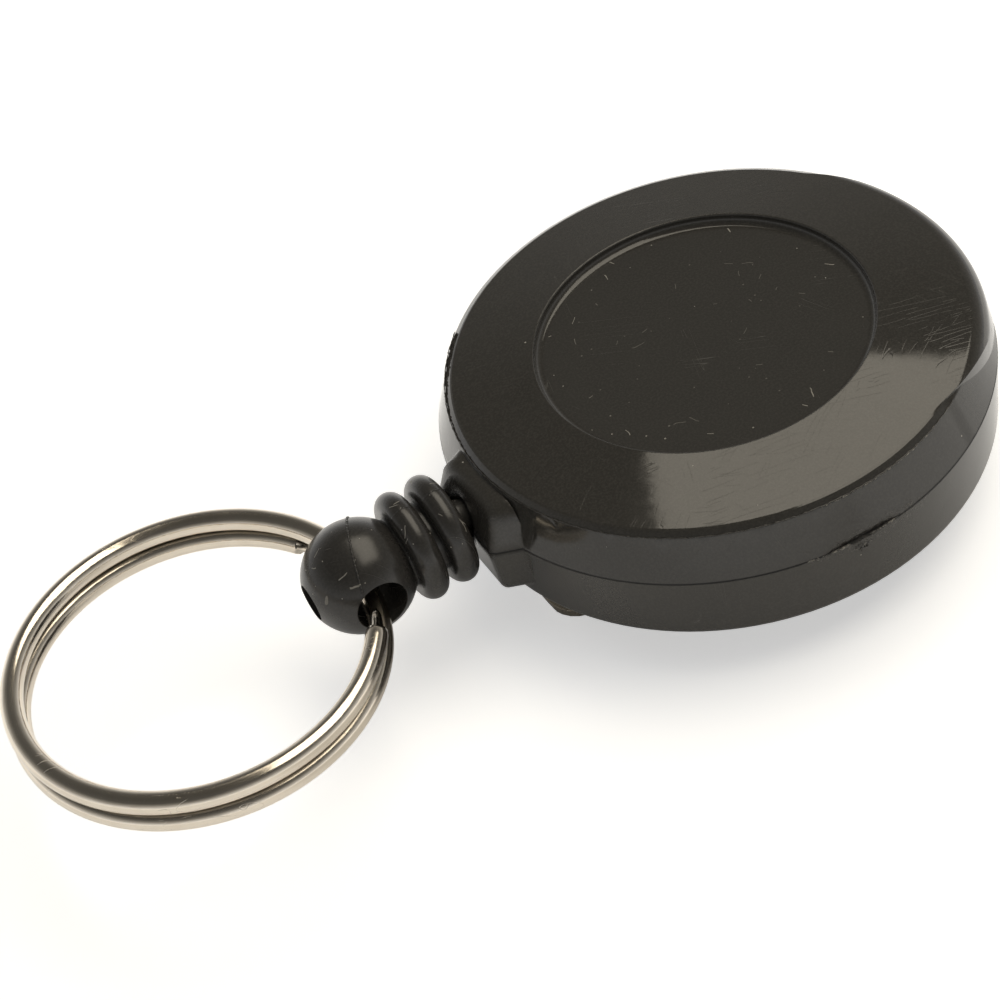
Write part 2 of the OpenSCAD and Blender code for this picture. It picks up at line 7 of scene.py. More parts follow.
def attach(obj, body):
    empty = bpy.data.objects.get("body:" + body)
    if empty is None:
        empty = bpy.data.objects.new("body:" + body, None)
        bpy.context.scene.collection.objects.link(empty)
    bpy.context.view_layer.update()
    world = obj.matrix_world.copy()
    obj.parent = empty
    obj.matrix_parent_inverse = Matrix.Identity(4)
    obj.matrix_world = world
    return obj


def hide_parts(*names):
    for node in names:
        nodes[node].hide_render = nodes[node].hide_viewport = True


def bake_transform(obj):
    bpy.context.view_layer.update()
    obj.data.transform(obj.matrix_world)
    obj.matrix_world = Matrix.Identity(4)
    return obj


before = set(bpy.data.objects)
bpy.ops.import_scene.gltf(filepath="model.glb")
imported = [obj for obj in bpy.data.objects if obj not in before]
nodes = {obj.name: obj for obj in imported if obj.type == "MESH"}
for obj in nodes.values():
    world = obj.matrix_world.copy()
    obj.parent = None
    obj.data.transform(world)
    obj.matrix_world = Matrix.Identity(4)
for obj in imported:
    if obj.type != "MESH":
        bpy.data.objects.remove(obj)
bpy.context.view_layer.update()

# Sizes repeated from the part, in mm
MM = 0.001
Z_SEAM = -3.5
CASE_R = 19.0
RIM_R = 17.87
RIM_Z = -0.4
FULL_ANGLE = 164
GATE_ANGLE = 87
LABEL_R = 11.5
RIBS_X = (21.5, 23.8)
RIB_R = 2.95
RIB_TUBE_R = 0.95
BALL = Vector((27.8, 0, Z_SEAM))
BALL_R = 3.85
CROSS_HOLE_R = 1.8
RING_R = 11.95
WIRE_R = 0.75
TURN_Z = 0.8
CROSS_ANGLE = 20
END_ANGLE = 23
RING_TILT = 2.5
CORD_R = 0.45
LEAD_R = 14.375
BEND_X = 18.9
LEAD_BEND = 2.0
KNOT_SHOULDER_X = 22.75
FLOOR_Z = -13.17

# Sizes of the scene's own, in mm: depth of the plastic's finest relief, where the rim's
# bevel starts to lean further out and by how much it falls, and how softly edges are broken
RELIEF = 0.012
BEVEL_R = 17.45
BEVEL_LEAN = 0.15
PLASTIC_EDGE = 0.08
LUG_EDGE = 0.9
METAL_EDGE = 0.1
INNER_EDGE = 0.1
LINE_END = 0.01

# Sides of the scene's tubes
RING_SIDES = 28
CORD_SIDES = 16
FLASH_SIDES = 8
LINE_SIDES = 6

# Colours that more than one material uses
DUST = (0.3, 0.285, 0.25, 1)
CASE_BLACK = (0.0318, 0.0298, 0.0262)
FITTING_BLACK = (0.024, 0.0225, 0.0205)


# Node trees


class Tree:
    """Builds the nodes of one material or world. Its lengths are in mm."""

    def __init__(self, owner):
        owner.use_nodes = True
        self.tree = owner.node_tree
        self.tree.nodes.clear()

    def add(self, kind, inputs=None, **settings):
        node = self.tree.nodes.new(kind)
        for name, value in settings.items():
            setattr(node, name, value)
        for name, value in (inputs or {}).items():
            self.put(node.inputs[name], value)
        return node

    def put(self, socket, value):
        if isinstance(value, bpy.types.NodeSocket):
            self.tree.links.new(value, socket)
        else:
            socket.default_value = value

    def math(self, operation, a, b=0.0, clamp=False):
        node = self.add("ShaderNodeMath", {0: a, 1: b}, operation=operation, use_clamp=clamp)
        return node.outputs[0]

    def product(self, *factors):
        result = factors[0]
        for factor in factors[1:]:
            result = self.math("MULTIPLY", result, factor)
        return result

    def step(self, value, low, high):
        """0 below low, 1 above high and smooth between; falls where low is above high."""
        rising = low < high
        node = self.add(
            "ShaderNodeMapRange",
            {
                "Value": value,
                "From Min": min(low, high),
                "From Max": max(low, high),
                "To Min": 0.0 if rising else 1.0,
                "To Max": 1.0 if rising else 0.0,
            },
            interpolation_type="SMOOTHSTEP",
        )
        return node.outputs["Result"]

    def span(self, value, low, high):
        """Takes a value from 0 to 1 to the range from low to high."""
        node = self.add("ShaderNodeMapRange", {"Value": value, "To Min": low, "To Max": high})
        return node.outputs["Result"]

    def vector(self, operation, a, b):
        node = self.add("ShaderNodeVectorMath", {0: a}, operation=operation)
        self.put(node.inputs["Scale" if operation == "SCALE" else 1], b)
        return node.outputs["Vector"]

    def mix(self, factor, a, b):
        node = self.add("ShaderNodeMix", data_type="RGBA")
        self.put(node.inputs[0], factor)
        self.put(node.inputs[6], a)
        self.put(node.inputs[7], b)
        return node.outputs[2]

    def place(self):
        """Place on the object, in mm."""
        coordinates = self.add("ShaderNodeTexCoord")
        return self.vector("SCALE", coordinates.outputs["Object"], 1000.0)

    def parts(self, vector):
        node = self.add("ShaderNodeSeparateXYZ", {"Vector": vector})
        return node.outputs["X"], node.outputs["Y"], node.outputs["Z"]

    def radius(self, x, y):
        return self.math("SQRT", self.math("ADD", self.product(x, x), self.product(y, y)))

    def largest(self, *values):
        result = values[0]
        for value in values[1:]:
            result = self.math("MAXIMUM", result, value)
        return result

    def noise(self, vector, scale, detail=2.0, roughness=0.5):
        node = self.add(
            "ShaderNodeTexNoise",
            {"Vector": vector, "Scale": scale, "Detail": detail, "Roughness": roughness},
        )
        return node.outputs["Fac"]

    def hairlines(self, place, angle, spacing, length, width, share):
        """Thin straight scratches at an angle, broken up so that only a share of them shows."""
        turned = self.add(
            "ShaderNodeVectorRotate",
            {"Vector": place, "Angle": math.radians(angle)},
            rotation_type="Z_AXIS",
        ).outputs["Vector"]
        stretched = self.vector("MULTIPLY", turned, (1 / length, 1 / spacing, 1 / length))
        wave = self.noise(stretched, 1.0, 1.0)
        off = self.math("ABSOLUTE", self.math("SUBTRACT", wave, 0.5))
        line = self.step(off, width, width * 0.3)
        patch = self.noise(self.vector("ADD", place, (angle, 3.0, 7.0)), 0.22, 2.0)
        return self.math("MULTIPLY", line, self.step(patch, 1 - share, 1.06 - share))

    def specks(self, place, spacing, radius, share, flat=False):
        """Scattered dots of dust, laid out in the plane of X and Y where flat."""
        node = self.add(
            "ShaderNodeTexVoronoi",
            {"Vector": place, "Scale": 1 / spacing},
            voronoi_dimensions="2D" if flat else "3D",
        )
        picked = self.math("LESS_THAN", self.parts(node.outputs["Color"])[0], share)
        size = self.span(self.parts(node.outputs["Color"])[1], 0.4 * radius, radius)
        near = self.math("LESS_THAN", self.product(node.outputs["Distance"], spacing), size)
        return self.math("MULTIPLY", picked, near)

    def fibres(self, place, spacing, shift, share):
        """Scattered short curved hairs, laid out in the plane of X and Y."""
        moved = self.vector("ADD", place, (shift, 2 * shift, 0.0))
        bent = self.vector("ADD", moved, self.vector("SCALE", self.swirl(moved), 0.5))
        node = self.add(
            "ShaderNodeTexVoronoi",
            {"Vector": bent, "Scale": 1 / spacing},
            voronoi_dimensions="2D",
        )
        picked, turn, reach = self.parts(node.outputs["Color"])
        offset = self.vector("SUBTRACT", bent, node.outputs["Position"])
        turned = self.add(
            "ShaderNodeVectorRotate",
            {"Vector": offset, "Angle": self.product(turn, math.pi)},
            rotation_type="Z_AXIS",
        ).outputs["Vector"]
        along, across, _ = self.parts(turned)
        thin = self.math("LESS_THAN", self.math("ABSOLUTE", across), 0.028)
        short = self.math("LESS_THAN", self.math("ABSOLUTE", along), self.span(reach, 0.1, 0.45))
        return self.product(self.math("LESS_THAN", picked, share), thin, short)

    def swirl(self, place):
        """Vector that wanders slowly from place to place."""
        node = self.add("ShaderNodeTexNoise", {"Vector": place, "Scale": 0.9, "Detail": 1.0})
        return node.outputs["Color"]

    def bump(self, height, depth, normal=None):
        """Normal of a surface with that relief, depth mm deep."""
        node = self.add(
            "ShaderNodeBump",
            {"Height": height, "Distance": depth * MM, "Strength": 1.0},
        )
        if normal is not None:
            self.put(node.inputs["Normal"], normal)
        return node.outputs["Normal"]

    def soft_edges(self, radius):
        """Normal with the sharp edges broken by a small radius, in m."""
        return self.add("ShaderNodeBevel", {"Radius": radius}, samples=4).outputs["Normal"]

    def surface(self, **inputs):
        shader = self.add("ShaderNodeBsdfPrincipled")
        for name, value in inputs.items():
            self.put(shader.inputs[name.replace("_", " ")], value)
        output = self.add("ShaderNodeOutputMaterial")
        self.tree.links.new(shader.outputs["BSDF"], output.inputs["Surface"])


# Materials


def moulded_plastic(name, colour, gloss, label=False, seam=False, gate=False, dusty=False):
    """Black moulded plastic with flow marks, scuffs, hairline scratches and dust."""
    material = bpy.data.materials.new(name)
    t = Tree(material)
    place = t.place()
    x, y, z = t.parts(place)
    tone = t.noise(place, 0.3, 3.0)
    ripple = t.noise(place, 1.3, 3.0)
    grain = t.noise(place, 14.0, 2.0, 0.6)
    scuff = t.noise(place, 0.9, 4.0, 0.65)
    dark = [c * 0.9 for c in colour] + [1]
    light = [c * 1.1 for c in colour] + [1]
    base = t.mix(tone, dark, light)
    speckle = t.noise(place, 6.0, 2.0, 0.7)
    base = t.mix(t.step(speckle, 0.4, 0.66), base, [c * 1.3 for c in colour] + [1])
    roughness = t.span(scuff, gloss - 0.02, gloss + 0.04)
    sag = t.noise(place, 0.45, 2.0)
    relief = t.math("ADD", t.span(ripple, 0.0, 0.06), t.span(grain, 0.0, 0.014))
    relief = t.math("ADD", relief, t.span(sag, 0.0, 0.4))
    if label:
        # The label seat has a finely matt floor
        from_middle = t.radius(x, y)
        matt = t.step(from_middle, LABEL_R - 0.48, LABEL_R - 0.62)
        roughness = t.math("ADD", roughness, t.product(matt, 0.08))
        relief = t.math("ADD", relief, t.product(matt, grain, 0.05))
        base = t.mix(t.product(matt, 0.14), base, (0.06, 0.06, 0.058, 1))
        # Lint that has gathered along its corner
        corner = t.span(t.step(from_middle, LABEL_R - 3.5, LABEL_R - 0.9), 0.25, 1.0)
        lint = t.largest(
            t.fibres(place, 1.0, 5.0, 0.09),
            t.specks(place, 0.8, 0.07, 0.07, flat=True),
        )
        base = t.mix(t.product(matt, corner, lint), base, DUST)
        # The photo's bevel is steeper than the part's, so its relief leans it further out
        full = math.radians(FULL_ANGLE)
        around = t.math("ADD", t.product(x, math.cos(full)), t.product(y, math.sin(full)))
        slim = t.step(t.math("DIVIDE", around, from_middle), 0.72, 0.67)
        past = t.math("SUBTRACT", from_middle, BEVEL_R)
        steep = t.math("DIVIDE", past, RIM_R - BEVEL_R, clamp=True)
        relief = t.math("SUBTRACT", relief, t.product(slim, steep, BEVEL_LEAN / RELIEF))
    # Long fine scratches, and shorter and broader rubbed ones
    scratches = t.largest(
        t.hairlines(place, 33, 0.9, 50.0, 0.0028, 0.42),
        t.hairlines(place, 107, 1.1, 40.0, 0.0024, 0.4),
        t.hairlines(place, 71, 0.7, 30.0, 0.0024, 0.38),
    )
    base = t.mix(t.product(scratches, 0.09), base, (0.2, 0.19, 0.17, 1))
    roughness = t.math("ADD", roughness, t.product(scratches, 0.18), clamp=True)
    relief = t.math("SUBTRACT", relief, t.product(scratches, 0.08))
    rubbed = t.largest(
        t.hairlines(place, 12, 0.7, 7.0, 0.018, 0.48),
        t.hairlines(place, 148, 0.8, 6.0, 0.018, 0.46),
    )
    if label:
        rubbed = t.product(rubbed, t.span(matt, 1.0, 0.2))
    relief = t.math("SUBTRACT", relief, t.product(rubbed, 0.12))
    dust = t.largest(t.specks(place, 1.2, 0.07, 0.3), t.specks(place, 4.0, 0.12, 0.3))
    if dusty:
        hairs = t.largest(t.fibres(place, 1.0, 9.0, 0.2), t.fibres(place, 1.2, 3.0, 0.2))
        dust = t.largest(dust, t.specks(place, 0.55, 0.05, 0.5), t.product(hairs, 0.6))
    base = t.mix(dust, base, DUST)
    roughness = t.math("ADD", roughness, t.product(dust, 0.5), clamp=True)
    if seam:
        # Dirt and painted shade in the parting line
        off = t.math("ABSOLUTE", t.math("SUBTRACT", z, Z_SEAM))
        worn = t.noise(place, 3.0, 3.0)
        line = t.step(off, 0.1, 0.05)
        base = t.mix(t.product(line, t.span(worn, 0.8, 1.0)), base, (0.003, 0.003, 0.003, 1))
        roughness = t.math("ADD", roughness, t.product(line, 0.6), clamp=True)
    edge = PLASTIC_EDGE * MM
    if seam:
        # The lug's edges run softly into one another
        edge = t.span(t.step(x, CASE_R - 1.2, CASE_R - 0.5), edge, LUG_EDGE * MM)
    if gate:
        # Scuffed plastic round the place where the gate was trimmed off
        torn = t.product(
            t.step(t.math("ABSOLUTE", t.math("SUBTRACT", z, Z_SEAM)), 0.9, 0.4),
            t.step(y, CASE_R - 0.6, CASE_R - 0.3),
            t.step(t.noise(place, 3.2, 4.0, 0.7), 0.52, 0.6),
        )
        base = t.mix(t.product(torn, 0.35), base, (0.12, 0.11, 0.1, 1))
        roughness = t.math("ADD", roughness, t.product(torn, 0.3), clamp=True)
        relief = t.math("ADD", relief, t.product(torn, 1.2))
    t.surface(
        Base_Color=base,
        Roughness=roughness,
        IOR=1.5,
        Normal=t.bump(relief, RELIEF, t.soft_edges(edge)),
    )
    return material


def torn_plastic():
    """Flash and torn edges, paler where the plastic was stretched."""
    material = bpy.data.materials.new("torn_plastic")
    t = Tree(material)
    place = t.place()
    stretch = t.noise(place, 5.0, 3.0, 0.6)
    t.surface(
        Base_Color=t.mix(
            t.step(stretch, 0.45, 0.65),
            (0.035, 0.033, 0.03, 1),
            (0.24, 0.225, 0.195, 1),
        ),
        Roughness=t.span(stretch, 0.2, 0.4),
        IOR=1.5,
        Normal=t.bump(stretch, 0.05),
    )
    return material


def plated_wire():
    """Nickel plated wire: bright, with fine lines drawn along it and dirt and painted shade
    between the turns.
    """
    material = bpy.data.materials.new("nickel_wire")
    t = Tree(material)
    uv = t.add("ShaderNodeUVMap", uv_map="along").outputs["UV"]
    drawn = t.noise(t.vector("MULTIPLY", uv, (0.35, 9.0, 1.0)), 1.0, 3.0, 0.6)
    place = t.place()
    worn = t.noise(place, 0.7, 4.0, 0.6)
    groove = t.add("ShaderNodeAttribute", attribute_name="groove").outputs["Fac"]
    base = t.mix(worn, (0.68, 0.61, 0.51, 1), (0.8, 0.73, 0.63, 1))
    nicks = t.hairlines(place, 20, 0.6, 3.0, 0.008, 0.42)
    # Dirt and painted shade on the sides where the two turns face each other
    dirt_and_painted_shade = t.math("MULTIPLY", t.step(groove, 0.72, 0.98), t.span(worn, 0.5, 1.0))
    base = t.mix(dirt_and_painted_shade, base, (0.05, 0.042, 0.032, 1))
    roughness = t.math("ADD", t.span(drawn, 0.09, 0.21), t.product(dirt_and_painted_shade, 0.3))
    roughness = t.math("ADD", roughness, t.product(nicks, 0.2), clamp=True)
    relief = t.math("SUBTRACT", drawn, t.product(nicks, 0.6))
    t.surface(
        Base_Color=base,
        Metallic=1.0,
        Roughness=roughness,
        Normal=t.bump(relief, 0.012),
    )
    return material


def plated_steel(name, colour, across):
    """Rolled and plated spring steel, brushed along one axis."""
    material = bpy.data.materials.new(name)
    t = Tree(material)
    place = t.place()
    grain = [0.12, 0.12, 0.12]
    grain[across] = 9.0
    brushed = t.noise(t.vector("MULTIPLY", place, tuple(grain)), 1.0, 4.0, 0.65)
    tint = t.noise(place, 0.4, 3.0)
    dark = [c * 0.85 for c in colour] + [1]
    light = [c * 1.1 for c in colour] + [1]
    base = t.mix(tint, dark, light)
    nicks = t.hairlines(place, 55, 0.7, 5.0, 0.007, 0.45)
    base = t.mix(t.product(nicks, 0.5), base, (0.3, 0.28, 0.25, 1))
    roughness = t.math("ADD", t.span(brushed, 0.2, 0.38), t.product(nicks, 0.2), clamp=True)
    t.surface(
        Base_Color=base,
        Metallic=1.0,
        Roughness=roughness,
        Normal=t.bump(brushed, 0.008, t.soft_edges(METAL_EDGE * MM)),
    )
    return material


def natural_plastic():
    """Unpainted moulding of the inner pieces."""
    material = bpy.data.materials.new("natural_plastic")
    t = Tree(material)
    place = t.place()
    flow = t.noise(place, 0.35, 3.0)
    grain = t.noise(place, 8.0, 3.0)
    base = t.mix(flow, (0.68, 0.66, 0.6, 1), (0.8, 0.78, 0.72, 1))
    t.surface(
        Base_Color=base,
        Roughness=t.span(grain, 0.4, 0.55),
        IOR=1.5,
        Normal=t.bump(grain, 0.01, t.soft_edges(INNER_EDGE * MM)),
    )
    return material


def braided_cord():
    """Black braid: two sets of strands crossing round the cord."""
    material = bpy.data.materials.new("braided_cord")
    t = Tree(material)
    place = t.place()
    x, y, z = t.parts(place)
    turn = t.math("ARCTAN2", y, t.math("SUBTRACT", z, Z_SEAM))
    strands = []
    for lay in (1.0, -1.0):
        phase = t.math("ADD", t.product(turn, 4.0), t.product(x, 5.0 * lay))
        strands.append(t.math("ABSOLUTE", t.math("SINE", phase)))
    weave = t.math("MAXIMUM", *strands)
    fibre = t.noise(place, 9.0, 3.0)
    shade = t.math("MULTIPLY", weave, t.span(fibre, 0.6, 1.0))
    base = t.mix(shade, (0.006, 0.006, 0.006, 1), (0.045, 0.043, 0.04, 1))
    t.surface(
        Base_Color=base,
        Roughness=t.span(fibre, 0.6, 0.8),
        Normal=t.bump(shade, 0.08),
    )
    return material


def floor_paper():
    """Pale paper that shows white to the camera and in reflections, and keeps the shadow."""
    material = bpy.data.materials.new("floor_paper")
    t = Tree(material)
    grain = t.noise(t.place(), 0.8, 3.0)
    path = t.add("ShaderNodeLightPath").outputs
    seen = t.math("MAXIMUM", path["Is Camera Ray"], path["Is Transmission Ray"])
    # Reflections see a painted glow on it, with a painted shadow: dimmer on the near side, which
    # the reel shades, and less so by the ring
    x, y, _ = t.parts(t.place())
    away = t.radius(x, y)
    lit = t.largest(
        t.step(y, 5.0, -25.0),
        t.step(x, 0.0, -30.0),
        t.step(away, 50.0, 140.0),
        t.product(t.step(x, 26.0, 42.0), 0.55),
    )
    mirrored = t.product(path["Is Glossy Ray"], t.span(lit, 0.02, 0.5))
    # Further off, where less light falls, it glows more
    level = t.span(t.step(away, 150.0, 900.0), 0.5, 0.95)
    glowing = t.math("ADD", t.product(seen, level), mirrored)
    paper = t.add(
        "ShaderNodeBsdfDiffuse",
        {"Color": t.mix(grain, (0.84, 0.84, 0.84, 1), (0.86, 0.86, 0.86, 1))},
    )
    glow = t.add("ShaderNodeEmission", {"Color": (1, 1, 1, 1), "Strength": glowing})
    both = t.add("ShaderNodeAddShader")
    t.put(both.inputs[0], paper.outputs["BSDF"])
    t.put(both.inputs[1], glow.outputs["Emission"])
    output = t.add("ShaderNodeOutputMaterial")
    t.put(output.inputs["Surface"], both.outputs["Shader"])
    return material


front_plastic = moulded_plastic(
    "case_front_plastic", CASE_BLACK, 0.055, label=True, seam=True, gate=True
)
rear_plastic = moulded_plastic("case_rear_plastic", CASE_BLACK, 0.09, seam=True, gate=True)
fitting_plastic = moulded_plastic("fitting_plastic", FITTING_BLACK, 0.24, dusty=True)
flash_plastic = torn_plastic()
nickel = plated_wire()
clip_steel = plated_steel("clip_steel", (0.36, 0.32, 0.26), 1)
rivet_steel = plated_steel("rivet_steel", (0.6, 0.57, 0.52), 0)
spring_steel = plated_steel("spring_steel", (0.36, 0.38, 0.42), 2)
spool_plastic = natural_plastic()
cord_braid = braided_cord()

finishes = {
    "front_cover": front_plastic,
    "rear_cover": rear_plastic,
    "end_fitting": fitting_plastic,
    "clip_base": clip_steel,
    "clip_tongue": clip_steel,
    "clip_rivet": rivet_steel,
    "rivet_washer": rivet_steel,
    "power_spring": spring_steel,
    "spool": spool_plastic,
    "spring_cover": spool_plastic,
    "cord_winding": cord_braid,
    "cord_anchor_bead": cord_braid,
    "cord_end_knot": cord_braid,
    "cord_lead": cord_braid,
    "split_ring": nickel,
}


def smooth_by_angle(limit):
    """Node tree that smooths a mesh over every edge flatter than limit degrees."""
    tree = bpy.data.node_groups.new(f"smooth_by_{limit}", "GeometryNodeTree")
    tree.interface.new_socket("Geometry", in_out="INPUT", socket_type="NodeSocketGeometry")
    tree.interface.new_socket("Geometry", in_out="OUTPUT", socket_type="NodeSocketGeometry")
    new, link = tree.nodes.new, tree.links.new
    start, end = new("NodeGroupInput"), new("NodeGroupOutput")
    angle = new("GeometryNodeInputMeshEdgeAngle")
    flat = new("FunctionNodeCompare")
    flat.operation = "LESS_THAN"
    flat.inputs[1].default_value = math.radians(limit)
    faces, edges = new("GeometryNodeSetShadeSmooth"), new("GeometryNodeSetShadeSmooth")
    faces.domain, edges.domain = "FACE", "EDGE"
    faces.inputs["Shade Smooth"].default_value = True
    link(angle.outputs["Unsigned Angle"], flat.inputs[0])
    link(start.outputs[0], faces.inputs["Geometry"])
    link(faces.outputs[0], edges.inputs["Geometry"])
    link(flat.outputs[0], edges.inputs["Shade Smooth"])
    link(edges.outputs[0], end.inputs[0])
    return tree


# The covers' faces meet their bevels in a crease
smoothing = smooth_by_angle(32)
creasing = smooth_by_angle(17)
for name, finish in finishes.items():
    node = nodes[name]
    node.data.materials.clear()
    node.data.materials.append(finish)
    weld = node.modifiers.new("weld", "WELD")
    weld.merge_threshold = 0.0005 * MM
    smooth = node.modifiers.new("smooth", "NODES")
    smooth.node_group = creasing if name.endswith("cover") else smoothing
    weighted = node.modifiers.new("weighted", "WEIGHTED_NORMAL")
    weighted.keep_sharp = True


# Pieces


def sweep(name, path, radii, sides, finish):
    """Closed round tube along a path of points in mm, with a radius for each point.

    Also gives how far up each vertex lies on its section, from -1 to 1.
    """
    verts, faces, along, sections = [], [], [0.0], []
    for i, point in enumerate(path):
        ahead = (path[min(i + 1, len(path) - 1)] - path[max(i - 1, 0)]).normalized()
        level = ahead.cross(Vector((0, 0, 1))).normalized()
        upright = level.cross(ahead)
        if i:
            along.append(along[-1] + (point - path[i - 1]).length)
        for k in range(sides):
            turn = 2 * math.pi * k / sides
            out = level * math.cos(turn) + upright * math.sin(turn)
            sections.append(math.sin(turn))
            verts.append((point + out * radii[i]) * MM)
    for i in range(len(path) - 1):
        for k in range(sides):
            a, b = i * sides + k, i * sides + (k + 1) % sides
            faces.append((a, a + sides, b + sides, b))
    last = (len(path) - 1) * sides
    faces.append(tuple(range(sides)))
    faces.append(tuple(last + k for k in reversed(range(sides))))
    mesh = bpy.data.meshes.new(name)
    mesh.from_pydata(verts, [], faces)
    layer = mesh.uv_layers.new(name="along")
    for polygon in mesh.polygons:
        polygon.use_smooth = len(polygon.vertices) == 4
        for loop in polygon.loop_indices:
            vertex = mesh.loops[loop].vertex_index
            layer.data[loop].uv = (along[vertex // sides], vertex % sides / sides)
    mesh.materials.append(finish)
    mesh.validate()
    piece = bpy.data.objects.new(name, mesh)
    bpy.context.scene.collection.objects.link(piece)
    return piece, sections


# Split ring: the same wire as the solid, in finer steps, with a tapered core past its cut ends
def wire_point(angle):
    share = max(-1.0, min(1.0, angle / CROSS_ANGLE))
    a = math.radians(angle)
    return Vector((
        RING_R * (1 - math.cos(a)),
        -RING_R * math.sin(a),
        TURN_Z * math.sin(math.pi / 2 * share),
    ))


reach = 360 - END_ANGLE
RING_STEPS = 2 * 168
CUT_ANGLE = 7
tilt = Matrix.Rotation(math.radians(-RING_TILT), 3, "Y")
angles = [reach * (2 * i / RING_STEPS - 1) for i in range(RING_STEPS + 1)]
body = [a for a in angles if abs(a) < reach - CUT_ANGLE]
edge_turn = math.degrees(0.08 / RING_R)
cut = [(edge_turn, 0.92), (1.2 * edge_turn, 0.66), (CUT_ANGLE, 0.42), (CUT_ANGLE + 3, 0.12)]
tip = [(reach - CUT_ANGLE + turn, share * WIRE_R) for turn, share in cut]
angles = [-a for a, _ in reversed(tip)] + body + [a for a, _ in tip]
wire = [BALL + tilt @ wire_point(a) for a in angles]
wire_radii = [r for _, r in reversed(tip)] + [WIRE_R] * len(body) + [r for _, r in tip]
ring, sections = sweep("split_ring_wire", wire, wire_radii, RING_SIDES, nickel)
# How far each side of the wire faces the other turn, which the finish darkens with dirt and
# painted shade
groove = ring.data.attributes.new("groove", "FLOAT", "POINT")
for i, angle in enumerate(angles):
    toward = -1.0 if angle > 0 else 1.0
    for k in range(RING_SIDES):
        index = i * RING_SIDES + k
        groove.data[index].value = max(0.0, toward * sections[index])
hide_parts("split_ring")
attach(ring, "split_ring")

# Cord: from the winding through the lug to the knot, straight past its bend
start = Vector((LEAD_R * LEAD_R / BEND_X, LEAD_R * math.sqrt(1 - (LEAD_R / BEND_X) ** 2), 0))
corner = Vector((BEND_X, 0, 0))
incoming = (corner - start).normalized()
turning = incoming.angle(Vector((1, 0, 0)))
tangent = LEAD_BEND * math.tan(turning / 2)
centre = corner + Vector((tangent, LEAD_BEND, 0))
route = [start.lerp(corner - incoming * tangent, i / 20) for i in range(20)]
for i in range(10):
    left = turning * (1 - i / 10)
    route.append(centre + LEAD_BEND * Vector((-math.sin(left), -math.cos(left), 0)))
straight_x = corner.x + tangent
for i in range(91):
    route.append(Vector((straight_x + (KNOT_SHOULDER_X - straight_x) * i / 90, 0, 0)))
route = [point + Vector((0, 0, Z_SEAM)) for point in route]
cord, _ = sweep("cord_line", route, [CORD_R] * len(route), CORD_SIDES, cord_braid)
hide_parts("cord_lead")
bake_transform(cord)

# Mould line round the ball, broken by the cross hole
SEAM_SLANT = 0.37
SEAM_SHIFT = -0.3
normal = Vector((1, -SEAM_SLANT, 0)).normalized()
middle = normal * (SEAM_SHIFT / Vector((1, -SEAM_SLANT, 0)).length)
seam_r = math.sqrt(BALL_R**2 - middle.length_squared)
side = normal.cross(Vector((0, 0, 1)))
runs, run = [], []
for i in range(361):
    a = math.radians(i)
    point = middle + seam_r * (side * math.sin(a) + Vector((0, 0, 1)) * math.cos(a))
    if math.hypot(point.x, point.z) > CROSS_HOLE_R + 0.12:
        run.append(BALL + point)
    elif run:
        runs.append(run)
        run = []
runs.append(run)
for number, run in enumerate(runs):
    if len(run) < 4:
        continue
    thick = [0.075 + 0.035 * math.sin(1.7 * i) * math.sin(0.37 * i) for i in range(len(run))]
    thick[0] = thick[-1] = LINE_END
    line, _ = sweep(f"ball_mould_line_{number}", run, thick, LINE_SIDES, fitting_plastic)
    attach(line, "end_fitting")

# Mould line over the two ribs, at their top and bottom
for number, (rib_x, turn) in enumerate((x, t) for x in RIBS_X for t in (7, 187)):
    a = math.radians(turn)
    out = Vector((0, math.sin(a), math.cos(a)))
    line_path = []
    for lean in range(-66, 67, 6):
        b = math.radians(lean)
        reach_out = RIB_R + RIB_TUBE_R * math.cos(b)
        line_path.append(Vector((rib_x + RIB_TUBE_R * math.sin(b), 0, Z_SEAM)) + out * reach_out)
    thick = [0.035 + 0.012 * math.sin(2.3 * i) for i in range(len(line_path))]
    thick[0] = thick[-1] = LINE_END
    line, _ = sweep(f"rib_mould_line_{number}", line_path, thick, LINE_SIDES, fitting_plastic)
    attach(line, "end_fitting")


# Flash


def ragged(i, seed):
    """Uneven value from -1.5 to 1.5 along a torn edge."""
    slow = math.sin(0.83 * i + seed) * math.sin(0.29 * i + 2 * seed)
    return slow + 0.5 * math.sin(2.7 * i + 3 * seed)


def flash(name, start_angle, end_angle, r, z, thin, thick, seed, finish):
    """Uneven bead of moulding flash round the case, between two angles in degrees."""
    count = max(12, int((end_angle - start_angle) * 2))
    path, radii = [], []
    for i in range(count + 1):
        a = math.radians(start_angle + (end_angle - start_angle) * i / count)
        reach_out = r + 0.35 * thick * ragged(i, seed)
        rise = 0.3 * thick * ragged(i, seed + 1)
        path.append(Vector((reach_out * math.cos(a), reach_out * math.sin(a), z + rise)))
        radii.append(max(0.2 * thin, thin + (thick - thin) * abs(ragged(i, seed + 2))))
    radii[0] = radii[-1] = 0.2 * thin
    bead, _ = sweep(name, path, radii, FLASH_SIDES, finish)
    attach(bead, "case")


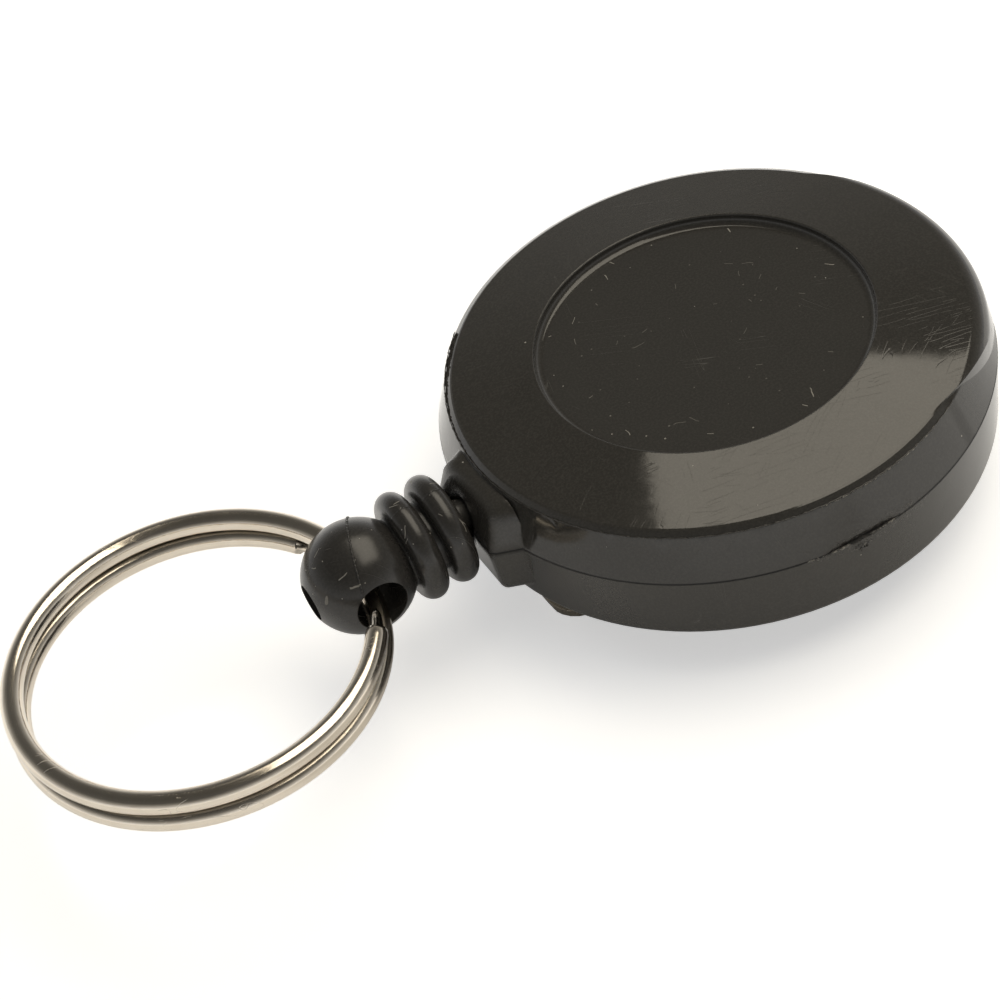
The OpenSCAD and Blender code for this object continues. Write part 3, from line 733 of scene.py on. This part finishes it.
# Along the foot of the rim, and where the gate was torn off at the seam. Each row: name, first and
# last angle, radius, height, thin and thick, seed and material
for bead_values in (
    ("rim_flash", -46, 119, RIM_R, RIM_Z, 0.03, 0.055, 0.4, front_plastic),
    ("rim_flash_torn", 80, 112, RIM_R + 0.02, RIM_Z - 0.06, 0.02, 0.06, 6.3, flash_plastic),
    (
        "gate_flash_1", GATE_ANGLE - 13, GATE_ANGLE - 3,
        CASE_R - 0.05, Z_SEAM - 0.05, 0.03, 0.1, 1.3, flash_plastic,
    ),
    (
        "gate_flash_2", GATE_ANGLE - 3, GATE_ANGLE + 3,
        CASE_R - 0.02, Z_SEAM - 0.1, 0.02, 0.06, 2.1, rear_plastic,
    ),
    (
        "gate_flash_3", GATE_ANGLE + 1, GATE_ANGLE + 8,
        CASE_R - 0.04, Z_SEAM - 0.02, 0.02, 0.07, 3.7, flash_plastic,
    ),
):
    flash(*bead_values)

# Crumbs that the tear left below the seam: turn from the gate, drop and thickness
CRUMB_HALF = 1.2
CRUMBS = ((-1.6, 0.5, 0.13), (-1.2, 0.72, 0.1), (-0.6, 0.92, 0.12), (0.4, 0.62, 0.1))
for number, (turn, drop, thick) in enumerate(CRUMBS):
    finish = flash_plastic if number % 2 else rear_plastic
    turned = GATE_ANGLE + turn
    crumb = (turned - CRUMB_HALF, turned + CRUMB_HALF, CASE_R - 0.08, Z_SEAM - drop)
    flash(f"gate_crumb_{number}", *crumb, 0.04, thick, 4.1 + number, finish)


# Stage

scene = bpy.context.scene
scene.view_settings.view_transform = "Standard"

FLOOR_HALF = 3.0
floor_corners = [
    (FLOOR_HALF * along, FLOOR_HALF * across, FLOOR_Z * MM)
    for along, across in ((-1, -1), (1, -1), (1, 1), (-1, 1))
]
floor_mesh = bpy.data.meshes.new("floor")
floor_mesh.from_pydata(floor_corners, [], [(0, 1, 2, 3)])
floor_mesh.materials.append(floor_paper())
floor = bpy.data.objects.new("floor", floor_mesh)
scene.collection.objects.link(floor)

# Dim room, brighter towards the horizon
world = bpy.data.worlds.new("studio")
scene.world = world
t = Tree(world)
height = t.parts(t.add("ShaderNodeTexCoord").outputs["Generated"])[2]
ramp = t.add("ShaderNodeValToRGB", {"Fac": height})
ramp.color_ramp.elements[0].position = 0.0
ramp.color_ramp.elements[0].color = (0.9, 0.9, 0.9, 1)
ramp.color_ramp.elements[1].position = 1.0
ramp.color_ramp.elements[1].color = (0.07, 0.068, 0.062, 1)
for position, level in ((0.25, 0.44), (0.42, 0.26), (0.64, 0.1)):
    ramp.color_ramp.elements.new(position).color = (level, level * 0.98, level * 0.93, 1)
seen = t.add("ShaderNodeLightPath").outputs["Is Camera Ray"]
sky = t.add("ShaderNodeBackground", {"Color": t.mix(seen, ramp.outputs["Color"], (1, 1, 1, 1))})
t.put(t.add("ShaderNodeOutputWorld").inputs["Surface"], sky.outputs["Background"])


def area_light(name, place, size, power, colour, glossy=True):
    """Rectangular light that shines straight down. Lengths in m."""
    data = bpy.data.lights.new(name, "AREA")
    data.shape = "RECTANGLE"
    data.size, data.size_y = size
    data.energy = power
    data.color = colour
    light = bpy.data.objects.new(name, data)
    light.location = place
    light.visible_glossy = glossy
    scene.collection.objects.link(light)


# Softbox above the far end of the reel, which shows on the near slope of the front
area_light("softbox", (-0.315, 0.0, 0.6), (0.512, 0.72), 3.25, (1.0, 0.92, 0.77))
# Even light from above, which no surface mirrors
area_light("ceiling", (0, 0, 1.0), (1.2, 1.2), 2.6, (0.97, 0.98, 1.0), glossy=False)

# Camera fitted to the photo
camera_data = bpy.data.cameras.new("camera")
camera_data.sensor_width = 36
camera_data.lens = 87.94
camera_data.clip_start = 0.005
camera = bpy.data.objects.new("camera", camera_data)
right = Vector((-0.8468, 0.4881, -0.2113))
up = Vector((-0.4857, -0.5476, 0.6814))
forward = Vector((-0.2169, -0.6796, -0.7008))
camera.matrix_world = (
    Matrix.Translation(Vector((52.18, 110.05, 109.55)) * MM)
    @ Matrix((right, up, -forward)).transposed().to_4x4()
)
scene.collection.objects.link(camera)
scene.camera = camera
